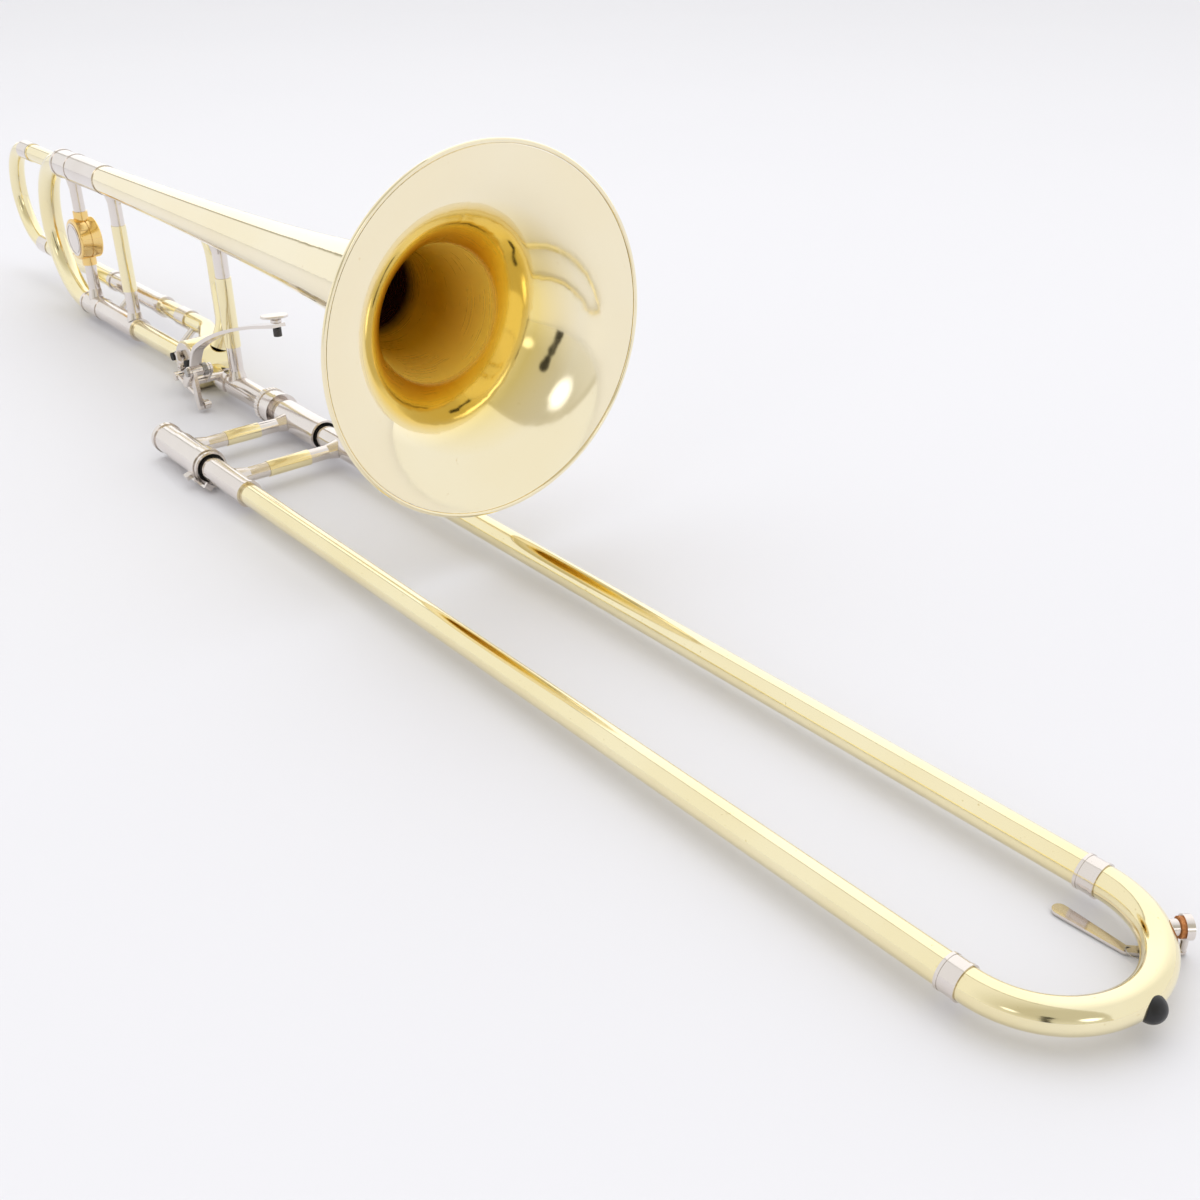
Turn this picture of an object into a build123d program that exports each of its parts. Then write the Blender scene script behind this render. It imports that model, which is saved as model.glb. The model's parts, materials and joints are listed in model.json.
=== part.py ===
from build123d import *
import math
import os

# Tenor trombone with an F attachment, lying with its slide level and its bell upright.
# X runs forward along the tubes, Y to the side of the F loop, Z up. Millimetres.
# Places are given by spot(x, y, z): x from the plane of the bell's rim, forward positive,
# y from the upright plane that holds the bell, z from the level plane of the two slide legs.

# ---- driving dimensions ----
rim_radius = 108.0
flare_length = 16.5
flare_power = 0.62
bell_wall = 0.6
bell_height = 126.5
slide_spacing = 88.0
bore_radius = 6.7
inner_slide_radius = 6.95
outer_slide_bore = 7.03
outer_slide_radius = 7.3
bow_tube_radius = 7.3
leadpipe_bore = 5.9
running_gap = 0.05
casing_radius = 20.0
rotor_radius = 17.4
f_loop_side = 22.0
f_loop_low = 19.0
f_loop_high = 112.0
f_tube_radius = 7.5
f_tube_bore = 6.95

# ---- places along the instrument, from the rim's plane ----
stem_start = 200.0
stem_end = 572.0
front_brace_x = -356.0
rear_brace_x = -556.0
weight_brace_x = -646.0
inner_brace_x = -262.0
outer_brace_x = -192.0
slide_bow_x = 415.0
tuning_bow_x = -664.0
f_bow_x = -836.0
valve_x = -412.0
valve_rise = 6.5
sleeve_end_x = -632.0
barrel_back_x = {"a": -268.0, "b": -276.0}
barrel_front_x = -219.0
bumper_radius = 5.8
bumper_reach = 49.5

# ---- trigger linkage ----
trigger_hinge = (-362.0, -27.5, 18.5)
lever_swing = math.radians(20.0)
lever_arm = 27.0
rotor_arm = lever_arm * math.sin(lever_swing / 2) / math.sin(math.radians(45.0))
rotor_rest_angle = math.radians(45.0)
lever_rest_angle = lever_swing / 2

# ---- derived placing of the whole instrument ----
slide_z = casing_radius - valve_rise
slide_bow_radius = slide_spacing / 2
tuning_bow_radius = bell_height / 2
f_bow_radius = (f_loop_high - f_loop_low) / 2
front_end = slide_bow_x + bumper_reach + bumper_radius
rear_end = f_bow_x - f_bow_radius - f_tube_radius
rim_x = -(front_end + rear_end) / 2
side_a = -slide_spacing
side_b = 0.0

os.makedirs("parts", exist_ok=True)


def spot(x, y=0.0, z=0.0):
    return (rim_x + x, y, slide_z + z)


def facing_x(x, y=0.0, z=0.0):
    return Plane(origin=spot(x, y, z), x_dir=(0, 1, 0), z_dir=(1, 0, 0))


def facing_y(x, y=0.0, z=0.0):
    return Plane(origin=spot(x, y, z), x_dir=(-1, 0, 0), z_dir=(0, 1, 0))


def facing_z(x, y=0.0, z=0.0):
    return Plane(origin=spot(x, y, z), x_dir=(1, 0, 0), z_dir=(0, 0, 1))


def facing_valve(y):
    # The plane across the rotary valve's axis.
    return facing_y(valve_x, y, valve_rise)


def ring(plane, thickness, outer, inner=0.0, mode=Mode.ADD):
    # A disc, or a ring where inner is given, standing on a plane.
    with BuildSketch(plane) as outline:
        Circle(outer)
        if inner > 0:
            Circle(inner, mode=Mode.SUBTRACT)
    extrude(outline.sketch, amount=thickness, mode=mode)


def pipe(start, end, y, z, outer, inner=0.0, mode=Mode.ADD):
    # A straight tube along X, from start back or forward to end.
    low, high = min(start, end), max(start, end)
    ring(facing_x(low, y, z), high - low, outer, inner, mode)


def collared_pipe(start, end, y, z, outer, inner, collar=0.5, width=2.0):
    # A sleeve with a raised bead round each end.
    pipe(start, end, y, z, outer, inner)
    low, high = min(start, end), max(start, end)
    pipe(low, low + width, y, z, outer + collar, inner)
    pipe(high - width, high, y, z, outer + collar, inner)


def bent_pipe(points, radii, outer, inner):
    # A hollow tube along straight runs joined by arcs.
    with BuildLine() as route:
        FilletPolyline(*[spot(*point) for point in points], radius=radii)
    wire = route.wire()
    with BuildSketch(Plane(origin=wire @ 0, z_dir=wire % 0)) as section:
        Circle(outer)
        Circle(inner, mode=Mode.SUBTRACT)
    sweep(section.sketch, path=wire)


def u_bow(first, middle, last, lead, outer, inner=0.0):
    # A half-round crook through three points, with a straight lead at both ends where given.
    with BuildLine() as route:
        if lead:
            Line(spot(first[0] + lead, first[1], first[2]), spot(*first))
        ThreePointArc(spot(*first), spot(*middle), spot(*last))
        if lead:
            Line(spot(*last), spot(last[0] + lead, last[1], last[2]))
    wire = route.wire()
    with BuildSketch(Plane(origin=wire @ 0, z_dir=wire % 0)) as section:
        Circle(outer)
        if inner > 0:
            Circle(inner, mode=Mode.SUBTRACT)
    sweep(section.sketch, path=wire)


def rod(start, end, radius, mode=Mode.ADD):
    # A round bar between two points.
    path = Vector(*spot(*end)) - Vector(*spot(*start))
    ring(Plane(origin=spot(*start), z_dir=path), path.length, radius, mode=mode)


def cone(start, end, start_radius, end_radius):
    # A tapered round foot between two points.
    path = Vector(*spot(*end)) - Vector(*spot(*start))
    with BuildSketch(Plane(origin=spot(*start), z_dir=path)) as bottom:
        Circle(start_radius)
    with BuildSketch(Plane(origin=spot(*end), z_dir=path)) as top:
        Circle(end_radius)
    loft([bottom.sketch.face(), top.sketch.face()])


def ball(x, y, z, radius):
    sphere = Pos(*spot(x, y, z)) * Sphere(radius, mode=Mode.PRIVATE)
    add(sphere)


def save(piece, name):
    piece.part.label = name
    export_step(piece.part, f"parts/{name}.step")


def bell_radius(depth):
    # The bell's outer radius at a depth behind its rim.
    return rim_radius * (1 + depth / flare_length) ** -flare_power


def bell_point(depth, inset):
    # A point of the bell's profile (depth, radius), moved inwards square to the sheet.
    slope = -flare_power * bell_radius(depth) / (flare_length + depth)
    scale = inset / math.hypot(1, slope)
    return (depth + slope * scale, bell_radius(depth) - scale)


def bell_shell(start, end, count):
    # The bell's sheet between two depths, turned round the bell's axis.
    spread = 2.2 if start < 10 else 1.0
    depths = [start + (end - start) * (step / count) ** spread for step in range(count + 1)]
    outside = [bell_point(depth, 0) for depth in depths]
    inside = [bell_point(depth, bell_wall) for depth in depths]
    inside[-1] = (end, bell_radius(end) - bell_wall)
    if start > 10:
        inside[0] = (start, bell_radius(start) - bell_wall)
    profile_plane = Plane(origin=spot(0, 0, bell_height), x_dir=(-1, 0, 0), z_dir=(0, 1, 0))
    with BuildSketch(profile_plane) as sheet:
        with BuildLine():
            outer_line = Spline(outside)
            inner_line = Spline(inside)
            Line(outer_line @ 0, inner_line @ 0)
            Line(outer_line @ 1, inner_line @ 1)
        make_face()
    revolve(sheet.sketch, axis=Axis(spot(0, 0, bell_height), (1, 0, 0)))


# ---- bell ----
rim_bead_radius = 1.4
sheet_edge = 0.75

with BuildPart() as bell_flare:
    bell_shell(sheet_edge, stem_start, 12)
save(bell_flare, "bell_flare")

with BuildPart() as bell_rim_bead:
    bead_plane = Plane(origin=spot(-0.45, 0, bell_height), x_dir=(0, 0, 1), z_dir=(0, 1, 0))
    with BuildSketch(bead_plane) as bead_section:
        with Locations((rim_radius - rim_bead_radius, 0)):
            Circle(rim_bead_radius)
    revolve(bead_section.sketch, axis=Axis(spot(0, 0, bell_height), (1, 0, 0)))
save(bell_rim_bead, "bell_rim_bead")

with BuildPart() as bell_stem:
    bell_shell(stem_start, stem_end, 6)
save(bell_stem, "bell_stem")

# ---- receivers of the main tuning slide ----
upper_leg_radius = 9.0
lower_leg_radius = 8.2
leg_wall = 0.7
upper_sleeve_radius = 12.6
lower_sleeve_radius = 9.8
sleeve_front_x = -566.0
stem_socket = bell_radius(stem_end) + 0.12
lower_sleeve_front_x = -548.0

with BuildPart() as tuning_sleeves:
    pipe(sleeve_end_x, sleeve_front_x, side_b, bell_height, upper_sleeve_radius, stem_socket)
    pipe(sleeve_end_x, -stem_end, side_b, bell_height, upper_sleeve_radius, upper_leg_radius + running_gap)
    pipe(sleeve_end_x, sleeve_end_x + 2.5, side_b, bell_height, 13.1, upper_leg_radius + running_gap)
    pipe(sleeve_end_x, lower_sleeve_front_x, side_b, 0, lower_sleeve_radius, lower_leg_radius + running_gap)
    pipe(sleeve_end_x, sleeve_end_x + 2.5, side_b, 0, 10.4, lower_leg_radius + running_gap)
    pipe(lower_sleeve_front_x - 2.0, lower_sleeve_front_x, side_b, 0, 10.2, lower_leg_radius + running_gap)
save(tuning_sleeves, "tuning_sleeves")

# ---- rotary valve casing with its ports ----
casing_half = 16.0
casing_bore = rotor_radius + running_gap
port_radius = 6.95
gooseneck_radius = 8.15
gooseneck_bore = 7.5
f_down_port = (valve_x - 12.0, 8.0, 16.0)
f_down_bend = (valve_x - 40.0, f_loop_side, f_loop_low)
f_up_port = (valve_x + 12.0, 7.0, 20.0)
f_up_bend = (valve_x + 14.0, 15.0, 38.0)

with BuildPart() as valve_casing:
    ring(facing_valve(-casing_half), 2 * casing_half, casing_radius, casing_bore)
    ring(facing_valve(-casing_half), 2.5, casing_bore + 0.5, 4.05)
    ring(facing_x(valve_x - casing_radius - 1), 2 * casing_radius + 2, port_radius, mode=Mode.SUBTRACT)
    rod((valve_x, 7.0, valve_rise), f_up_bend, 6.5, mode=Mode.SUBTRACT)
    rod((valve_x, 7.0, valve_rise + 6.0), f_down_bend, 6.5, mode=Mode.SUBTRACT)
save(valve_casing, "valve_casing")

with BuildPart() as gooseneck_tube:
    pipe(lower_sleeve_front_x, valve_x - casing_radius + 1, side_b, 0, gooseneck_radius, gooseneck_bore)
    pipe(valve_x - casing_radius - 6, valve_x - casing_radius + 1, side_b, 0, 9.2, gooseneck_bore)
    ring(facing_valve(-casing_half), 2 * casing_half, casing_radius + 0.02, mode=Mode.SUBTRACT)
save(gooseneck_tube, "gooseneck_tube")

receiver_back_x = -379.0
receiver_front_x = -292.0
receiver_radius = 8.9
thread_radius = 9.6
tenon_radius = 7.6

with BuildPart() as valve_knuckle:
    pipe(valve_x + casing_radius - 1, receiver_back_x, side_b, 0, 8.6, bore_radius)
    pipe(receiver_back_x - 3, receiver_back_x, side_b, 0, 9.6, bore_radius)
    ring(facing_valve(-casing_half), 2 * casing_half, casing_radius + 0.02, mode=Mode.SUBTRACT)
save(valve_knuckle, "valve_knuckle")

with BuildPart() as slide_receiver:
    pipe(receiver_back_x, receiver_front_x, side_b, 0, receiver_radius, tenon_radius + 0.06)
    pipe(receiver_front_x - 12, receiver_front_x, side_b, 0, thread_radius, tenon_radius + 0.06)
    pipe(receiver_back_x, receiver_back_x + 3, side_b, 0, receiver_radius + 0.8, tenon_radius + 0.06)
save(slide_receiver, "slide_receiver")

# ---- covers of the valve ----
with BuildPart() as valve_cap:
    ring(facing_valve(casing_half), 4.5, casing_radius - 0.6)
    ring(facing_valve(casing_half), 1.5, casing_radius - 3.0, mode=Mode.SUBTRACT)
    with BuildSketch(facing_valve(casing_half)) as cap_knurl:
        with PolarLocations(casing_radius - 0.4, 36):
            Circle(0.7)
    extrude(cap_knurl.sketch, amount=3.2, mode=Mode.SUBTRACT)
    ring(facing_valve(casing_half + 4.0), 1.0, 9.0, 7.6, mode=Mode.SUBTRACT)
save(valve_cap, "valve_cap")

stop_plate_back = -casing_half
bumper_angles = (math.radians(24.0), math.radians(156.0))

with BuildPart() as valve_plates:
    ring(facing_valve(casing_half - 2.3), 2.3, casing_bore - 0.05, 3.05)
    ring(facing_valve(stop_plate_back - 1.6), 1.6, 18.6, 6.2)
    for angle in bumper_angles:
        holder_x = valve_x + 14.0 * math.cos(angle)
        holder_z = valve_rise + 14.0 * math.sin(angle)
        ring(facing_y(holder_x, stop_plate_back - 3.4, holder_z), 1.9, 3.9)
save(valve_plates, "valve_plates")

with BuildPart() as valve_stop_corks:
    for angle in bumper_angles:
        holder_x = valve_x + 14.0 * math.cos(angle)
        holder_z = valve_rise + 14.0 * math.sin(angle)
        ring(facing_y(holder_x, stop_plate_back - 7.4, holder_z), 3.95, 3.2)
save(valve_stop_corks, "valve_stop_corks")

# ---- rotor and its stop arm, which turn together ----
rotor_half = casing_half - 2.6

with BuildPart() as rotor:
    ring(facing_valve(-rotor_half), 2 * rotor_half, rotor_radius)
    for passage_z in (0.0, 2 * valve_rise):
        ring(facing_x(valve_x - 20, 0, passage_z), 40, 6.2, mode=Mode.SUBTRACT)
    ring(facing_valve(-casing_half - 3.4), casing_half + 3.4 - rotor_half, 4.0)
    ring(facing_valve(rotor_half), 2.4, 3.0)
save(rotor, "rotor")

arm_back = -casing_half - 6.4
stop_lug_turn = -45.0
stud_end = -24.6
arm_tip_x = valve_x + rotor_arm * math.sin(rotor_rest_angle)
arm_tip_z = valve_rise - rotor_arm * math.cos(rotor_rest_angle)

with BuildPart() as rotor_stop_arm:
    ring(facing_valve(arm_back), 3.0, 5.2)
    with BuildSketch(facing_valve(arm_back)) as arm_outline:
        Circle(4.6)
        with Locations((valve_x - arm_tip_x, arm_tip_z - valve_rise)):
            Circle(3.2)
        make_hull()
    extrude(arm_outline.sketch, amount=3.0)
    with BuildSketch(facing_valve(arm_back)) as lug_outline:
        with Locations(Location((0, 0), stop_lug_turn)):
            with Locations((0, 8.4)):
                Rectangle(3.4, 9.0)
    extrude(lug_outline.sketch, amount=3.0)
    ring(facing_y(arm_tip_x, stud_end, arm_tip_z), arm_back - stud_end, 1.9)
    ring(facing_valve(arm_back - 1.6), 1.6, 3.2)
    with BuildSketch(facing_valve(arm_back - 1.6)) as screw_slot:
        Rectangle(7.0, 0.9)
    extrude(screw_slot.sketch, amount=0.8, mode=Mode.SUBTRACT)
save(rotor_stop_arm, "rotor_stop_arm")

# ---- F attachment: fixed tubing ----
f_sleeve_radius = 8.3
f_leg_radius = 7.4
f_sleeve_bore = f_leg_radius + running_gap
f_upper_sleeve_front = -702.0
f_upper_sleeve_back = -812.0
f_lower_sleeve_front = -536.0
f_lower_sleeve_back = -650.0

with BuildPart() as f_upper_tube:
    upper_route = [
        f_up_port,
        f_up_bend,
        (valve_x - 3.0, f_loop_side, 64.0),
        (valve_x - 3.0, f_loop_side, f_loop_high),
        (f_upper_sleeve_front, f_loop_side, f_loop_high),
    ]
    bent_pipe(upper_route, [18.0, 24.0, 27.0], f_tube_radius, f_tube_bore)
    ring(facing_valve(-casing_half), 2 * casing_half, casing_radius + 0.05, mode=Mode.SUBTRACT)
    ring(facing_valve(casing_half - 0.1), 6.0, casing_radius + 0.3, mode=Mode.SUBTRACT)
save(f_upper_tube, "f_upper_tube")

with BuildPart() as f_upper_sleeve:
    collared_pipe(
        f_upper_sleeve_front, f_upper_sleeve_back, f_loop_side, f_loop_high, f_sleeve_radius, f_sleeve_bore
    )
save(f_upper_sleeve, "f_upper_sleeve")

with BuildPart() as f_lower_tube:
    lower_route = [
        (f_lower_sleeve_front, f_loop_side, f_loop_low),
        f_down_bend,
        f_down_port,
    ]
    bent_pipe(lower_route, [26.0], f_tube_radius, f_tube_bore)
    ring(facing_valve(-casing_half), 2 * casing_half, casing_radius + 0.05, mode=Mode.SUBTRACT)
    ring(facing_valve(casing_half - 0.1), 6.0, casing_radius + 0.3, mode=Mode.SUBTRACT)
save(f_lower_tube, "f_lower_tube")

with BuildPart() as f_lower_sleeve:
    pipe(f_lower_sleeve_back, f_lower_sleeve_front, f_loop_side, f_loop_low, f_sleeve_radius, f_sleeve_bore)
save(f_lower_sleeve, "f_lower_sleeve")

with BuildPart() as f_loop_bands:
    pipe(-502.0, -484.0, f_loop_side, f_loop_low, f_sleeve_radius + 0.3, f_tube_radius + 0.02)
    pipe(-700.0, -684.0, f_loop_side, f_loop_high, f_sleeve_radius + 0.3, f_tube_radius + 0.02)
    for ring_x in (f_lower_sleeve_back, f_lower_sleeve_front - 6.0):
        pipe(ring_x, ring_x + 6.0, f_loop_side, f_loop_low, f_sleeve_radius + 1.0, f_sleeve_radius + 0.02)
save(f_loop_bands, "f_loop_bands")

stays = (
    (-604.0, 0.0, lower_sleeve_radius, f_loop_low, f_sleeve_radius),
    (-472.0, 0.0, gooseneck_radius, f_loop_low, f_tube_radius),
    (-600.0, bell_height, upper_sleeve_radius, f_loop_high, f_tube_radius),
)

with BuildPart() as f_loop_stays:
    for stay_x, main_z, main_radius, loop_z, loop_radius in stays:
        rod((stay_x, 0, main_z), (stay_x, f_loop_side, loop_z), 3.0)
        pipe(stay_x - 5, stay_x + 5, side_b, main_z, main_radius + 0.03, mode=Mode.SUBTRACT)
        pipe(stay_x - 5, stay_x + 5, f_loop_side, loop_z, loop_radius + 0.03, mode=Mode.SUBTRACT)
save(f_loop_stays, "f_loop_stays")

# ---- upright braces between the bell and the lower line ----
brace_tube_radius = 6.1
brace_foot_radius = 5.5
brace_flare_radius = 7.6
foot_length = 24.0
front_low = receiver_radius
front_high = bell_height - bell_radius(-front_brace_x)
rear_low = lower_sleeve_radius
rear_high = bell_height - bell_radius(-rear_brace_x)

with BuildPart() as bell_brace_tubes:
    for brace_x, low, high in ((front_brace_x, front_low, front_high), (rear_brace_x, rear_low, rear_high)):
        ring(
            facing_z(brace_x, 0, low + foot_length),
            high - low - 2 * foot_length,
            brace_tube_radius,
            brace_foot_radius - 0.6,
        )
save(bell_brace_tubes, "bell_brace_tubes")

with BuildPart() as bell_brace_feet:
    for brace_x, low, high in ((front_brace_x, front_low, front_high), (rear_brace_x, rear_low, rear_high)):
        rod((brace_x, 0, low - 4), (brace_x, 0, low + foot_length), brace_foot_radius)
        rod((brace_x, 0, high - foot_length), (brace_x, 0, high + 4), brace_foot_radius)
        cone((brace_x, 0, low - 4), (brace_x, 0, low + 5), brace_flare_radius, brace_foot_radius)
        cone((brace_x, 0, high + 4), (brace_x, 0, high - 5), brace_flare_radius, brace_foot_radius)
    pipe(front_brace_x - 9, front_brace_x + 9, 0, 0, front_low + 0.03, mode=Mode.SUBTRACT)
    pipe(rear_brace_x - 9, rear_brace_x + 9, 0, 0, rear_low + 0.45, mode=Mode.SUBTRACT)
    for brace_x in (front_brace_x, rear_brace_x):
        saddle_radius = bell_radius(-brace_x - 9) + 0.05
        pipe(brace_x - 9, brace_x + 9, 0, bell_height, saddle_radius, mode=Mode.SUBTRACT)
save(bell_brace_feet, "bell_brace_feet")

# ---- main tuning slide ----
tuning_tube_radius = 9.6
tuning_tube_bore = 8.4
tuning_ferrule_radius = 12.2

with BuildPart() as tuning_legs:
    pipe(tuning_bow_x, -576.0, side_b, bell_height, upper_leg_radius, upper_leg_radius - leg_wall)
    pipe(tuning_bow_x, -556.0, side_b, 0, lower_leg_radius, lower_leg_radius - leg_wall)
save(tuning_legs, "tuning_legs")

with BuildPart() as tuning_ferrules:
    pipe(tuning_bow_x, sleeve_end_x - 0.3, side_b, bell_height, tuning_ferrule_radius, upper_leg_radius + 0.02)
    pipe(tuning_bow_x, tuning_bow_x + 3, side_b, bell_height, 12.8, upper_leg_radius + 0.02)
    pipe(tuning_bow_x, sleeve_end_x - 0.3, side_b, 0, 10.2, lower_leg_radius + 0.02)
    pipe(tuning_bow_x, tuning_bow_x + 3, side_b, 0, 10.8, lower_leg_radius + 0.02)
save(tuning_ferrules, "tuning_ferrules")

with BuildPart() as tuning_bow:
    u_bow(
        (tuning_bow_x, 0, bell_height),
        (tuning_bow_x - tuning_bow_radius, 0, bell_height / 2),
        (tuning_bow_x, 0, 0),
        0.0,
        tuning_tube_radius,
        tuning_tube_bore,
    )
save(tuning_bow, "tuning_bow")

weight_z = bell_height / 2
weight_radius = 18.0
weight_half = 10.0

with BuildPart() as tuning_brace:
    rod((weight_brace_x, 0, 6), (weight_brace_x, 0, weight_z - weight_radius - 6), 5.2)
    rod((weight_brace_x, 0, weight_z + weight_radius + 6), (weight_brace_x, 0, bell_height - 8), 5.2)
    cone((weight_brace_x, 0, 5), (weight_brace_x, 0, 17), 7.4, 5.2)
    cone((weight_brace_x, 0, bell_height - 7), (weight_brace_x, 0, bell_height - 19), 7.4, 5.2)
    pipe(weight_brace_x - 9, weight_brace_x + 9, 0, 0, 10.23, mode=Mode.SUBTRACT)
    pipe(weight_brace_x - 9, weight_brace_x + 9, 0, bell_height, 12.23, mode=Mode.SUBTRACT)
save(tuning_brace, "tuning_brace")

with BuildPart() as counterweight:
    ring(facing_y(weight_brace_x, -weight_half, weight_z), 2 * weight_half, weight_radius)
    fillet(counterweight.edges().filter_by(GeomType.CIRCLE), 1.6)
    ring(facing_y(weight_brace_x, -0.6, weight_z), 1.2, weight_radius + 1, weight_radius - 0.8, mode=Mode.SUBTRACT)
    rod((weight_brace_x, 0, weight_z - weight_radius - 6), (weight_brace_x, 0, weight_z - 10), 6.4)
    rod((weight_brace_x, 0, weight_z + 10), (weight_brace_x, 0, weight_z + weight_radius + 6), 6.4)
    ring(facing_y(weight_brace_x, -weight_half, weight_z), 1.2, 14.6, mode=Mode.SUBTRACT)
save(counterweight, "counterweight")

with BuildPart() as counterweight_plate:
    ring(facing_y(weight_brace_x, -weight_half - 0.6, weight_z), 1.78, 14.5)
    ring(facing_y(weight_brace_x, -weight_half - 0.6, weight_z), 0.4, 13.0, 11.8, mode=Mode.SUBTRACT)
save(counterweight_plate, "counterweight_plate")

# ---- F tuning slide ----
with BuildPart() as f_slide_legs:
    pipe(f_bow_x, f_upper_sleeve_front - 6, f_loop_side, f_loop_high, f_leg_radius, f_leg_radius - 0.45)
    pipe(f_bow_x, f_lower_sleeve_front - 24, f_loop_side, f_loop_low, f_leg_radius, f_leg_radius - 0.45)
save(f_slide_legs, "f_slide_legs")

with BuildPart() as f_slide_ferrules:
    pipe(f_bow_x, f_upper_sleeve_back - 0.3, f_loop_side, f_loop_high, 9.0, f_leg_radius + 0.02)
    pipe(f_bow_x, f_bow_x + 24, f_loop_side, f_loop_low, 9.0, f_leg_radius + 0.02)
save(f_slide_ferrules, "f_slide_ferrules")

with BuildPart() as f_slide_long_sleeve:
    pipe(f_bow_x + 24, f_lower_sleeve_back - 0.3, f_loop_side, f_loop_low, f_sleeve_radius, f_leg_radius + 0.02)
save(f_slide_long_sleeve, "f_slide_long_sleeve")

with BuildPart() as f_slide_bow:
    u_bow(
        (f_bow_x, f_loop_side, f_loop_high),
        (f_bow_x - f_bow_radius, f_loop_side, (f_loop_high + f_loop_low) / 2),
        (f_bow_x, f_loop_side, f_loop_low),
        0.0,
        f_tube_radius,
        f_tube_bore,
    )
save(f_slide_bow, "f_slide_bow")

# ---- joint between bell and slide ----
nut_back_x = -304.0
nut_front_x = -284.0

with BuildPart() as slide_tenon:
    pipe(-345.0, receiver_front_x + 0.3, side_b, 0, tenon_radius, bore_radius)
    pipe(receiver_front_x + 0.3, receiver_front_x + 3.0, side_b, 0, 9.4, bore_radius)
    pipe(receiver_front_x + 3.0, barrel_back_x["b"], side_b, 0, 8.2, bore_radius)
save(slide_tenon, "slide_tenon")

with BuildPart() as bell_lock_nut:
    pipe(nut_back_x, nut_front_x, side_b, 0, 12.6, thread_radius + running_gap)
    pipe(receiver_front_x + 3.3, nut_front_x, side_b, 0, 12.6, 8.25)
    pipe(nut_back_x, nut_back_x + 5, side_b, 0, 13.4, thread_radius + running_gap)
    pipe(nut_front_x - 4, nut_front_x, side_b, 0, 13.4, 8.25)
    with BuildSketch(facing_x(nut_back_x, side_b, 0)) as nut_knurl:
        with PolarLocations(13.7, 32):
            Circle(0.75)
    extrude(nut_knurl.sketch, amount=5, mode=Mode.SUBTRACT)
save(bell_lock_nut, "bell_lock_nut")

# ---- inner slide ----
barrel_radius = 11.0
liner_bore = 8.75
receiver_end_x = -294.0
inner_slide_end_x = 396.0
shank_radius = 6.35

with BuildPart() as cork_barrels:
    for leg_y, back in ((side_a, barrel_back_x["a"]), (side_b, barrel_back_x["b"])):
        pipe(back, barrel_front_x, leg_y, 0, barrel_radius, barrel_radius - 0.9)
        pipe(back, back + 12, leg_y, 0, barrel_radius, inner_slide_radius + 0.02)
        pipe(barrel_front_x - 3, barrel_front_x, leg_y, 0, barrel_radius + 0.5, barrel_radius - 0.9)
save(cork_barrels, "cork_barrels")

with BuildPart() as barrel_liners:
    liner_radius = barrel_radius - 0.92
    for leg_y in (side_a, side_b):
        pipe(barrel_front_x - 28, barrel_front_x - 1, leg_y, 0, liner_radius, liner_bore)
        pipe(barrel_front_x - 28, barrel_front_x - 18, leg_y, 0, liner_radius, inner_slide_radius + 0.3)
save(barrel_liners, "barrel_liners")

with BuildPart() as mouthpiece_receiver:
    pipe(receiver_end_x, barrel_back_x["a"], side_a, 0, 10.2, shank_radius)
    pipe(receiver_end_x, receiver_end_x + 4, side_a, 0, 11.0, shank_radius)
    fillet(mouthpiece_receiver.edges().filter_by(GeomType.CIRCLE).sort_by(Axis.X)[:2], 0.6)
save(mouthpiece_receiver, "mouthpiece_receiver")

with BuildPart() as leadpipe:
    pipe(barrel_back_x["a"] + 0.3, -60.0, side_a, 0, bore_radius - 0.02, leadpipe_bore)
save(leadpipe, "leadpipe")

with BuildPart() as inner_slide_tubes:
    pipe(barrel_back_x["a"] + 0.3, inner_slide_end_x, side_a, 0, inner_slide_radius, bore_radius)
    pipe(barrel_back_x["b"] + 0.3, inner_slide_end_x, side_b, 0, inner_slide_radius, bore_radius)
save(inner_slide_tubes, "inner_slide_tubes")

# ---- level braces of the slide: metal feet with a tube between them ----
cross_foot = 20.0
cross_radius = 5.0


def cross_tube(brace_x, reach):
    # The middle tube of a brace between the two slide legs.
    start = side_a + reach + cross_foot
    end = side_b - reach - cross_foot
    ring(facing_y(brace_x, start), end - start, cross_radius + 0.5, cross_radius - 1.0)


def cross_feet(brace_x, reach):
    # The two metal ends of such a brace, shaped to the legs that they are fixed to.
    inner_a = side_a + reach + cross_foot
    inner_b = side_b - reach - cross_foot
    rod((brace_x, side_a + reach - 3, 0), (brace_x, inner_a, 0), cross_radius)
    rod((brace_x, inner_b, 0), (brace_x, side_b - reach + 3, 0), cross_radius)
    cone((brace_x, side_a + reach - 3, 0), (brace_x, side_a + reach + 6, 0), 6.8, cross_radius)
    cone((brace_x, side_b - reach + 3, 0), (brace_x, side_b - reach - 6, 0), 6.8, cross_radius)
    for leg_y in (side_a, side_b):
        pipe(brace_x - 9, brace_x + 9, leg_y, 0, reach + 0.03, mode=Mode.SUBTRACT)


with BuildPart() as inner_brace_tube:
    cross_tube(inner_brace_x, barrel_radius)
save(inner_brace_tube, "inner_brace_tube")

with BuildPart() as inner_brace_feet:
    cross_feet(inner_brace_x, barrel_radius)
save(inner_brace_feet, "inner_brace_feet")

oversleeve_radius = 8.4

with BuildPart() as outer_brace_tube:
    cross_tube(outer_brace_x, oversleeve_radius)
save(outer_brace_tube, "outer_brace_tube")

with BuildPart() as outer_brace_feet:
    cross_feet(outer_brace_x, oversleeve_radius)
save(outer_brace_feet, "outer_brace_feet")

# ---- outer slide ----
outer_tube_start = -226.0
outer_tube_end = 410.0
oversleeve_start = -222.0
oversleeve_end = -162.0
ferrule_start = 405.5
ferrule_end = slide_bow_x - 0.3
ferrule_radius = 7.8

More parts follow.
